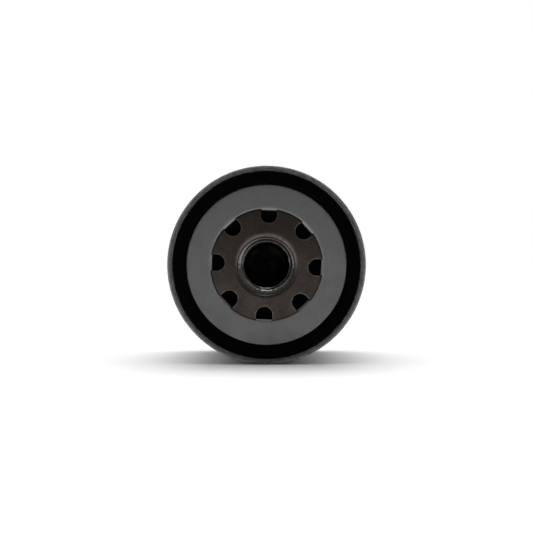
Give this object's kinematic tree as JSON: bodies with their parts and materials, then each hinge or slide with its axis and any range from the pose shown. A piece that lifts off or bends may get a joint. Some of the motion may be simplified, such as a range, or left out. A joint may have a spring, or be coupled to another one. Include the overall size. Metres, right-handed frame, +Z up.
{
  "type": "spin-on oil filter",
  "caption": "Spin-on oil filter: seamed steel can, threaded base plate with slotted inlets, rubber gasket, pleated cartridge, bypass and anti-drain valves.",
  "frame": {"origin": "centre of the threaded hole, where its full wall starts behind the rounded mouth", "axes": "+Y along the filter's axis, from the threaded base towards the closed end, +Z up with the filter lying on its side"},
  "size_m": [0.076, 0.093, 0.076],
  "materials": {
    "can_paint": "black baked paint, semi-gloss",
    "lid_steel": "grey satin plating, worn dark on the seam",
    "base_steel": "brown-grey phosphate, mottled",
    "gasket_rubber": "matt black, lightly oiled",
    "seam_compound": "dull, tacky",
    "valve_rubber": "matt black nitrile",
    "cap_steel": "tin plate, satin",
    "tube_steel": "bare steel, satin",
    "filter_paper": "resin-soaked paper, matt",
    "potting_resin": "set adhesive, dull",
    "valve_steel": "pressed steel, satin",
    "spring_steel": "drawn wire, lightly oiled"
  },
  "bodies": {
    "housing": {"can": "can_paint", "seaming_lid": "lid_steel", "seam_sealant": "seam_compound", "gasket": "gasket_rubber", "tapping_plate": "base_steel", "element_spring": "spring_steel"},
    "cartridge": {"upper_end_cap": "cap_steel", "lower_end_cap": "cap_steel", "centre_tube": "tube_steel", "pleated_media": "filter_paper", "media_clip": "tube_steel", "upper_potting": "potting_resin", "lower_potting": "potting_resin", "bypass_seat": "valve_steel", "bypass_cage": "valve_steel", "bypass_spring": "spring_steel", "spring_seat": "valve_steel"},
    "bypass_plunger": {"bypass_poppet": "valve_steel", "bypass_washer": "valve_rubber", "stem_clip": "valve_steel"},
    "anti_drain_lip": {"anti_drain_valve": "valve_rubber"}
  },
  "joints": [
    {"name": "cartridge_float", "type": "slide", "parent": "housing", "child": "cartridge", "axis": [0, 1, 0], "range_m": [0, 0.0015], "stiffness_N_per_m": 8000, "deforming": ["element_spring"]},
    {"name": "bypass_lift", "type": "slide", "parent": "cartridge", "child": "bypass_plunger", "axis": [0, -1, 0], "range_m": [0, 0.003], "stiffness_N_per_m": 1500, "deforming": ["bypass_spring"]},
    {"name": "anti_drain_lift", "type": "slide", "parent": "housing", "child": "anti_drain_lip", "axis": [0, 1, 0], "range_m": [0, 0.0012], "stiffness_N_per_m": 1500, "deforming": ["anti_drain_valve"]}
  ]
}
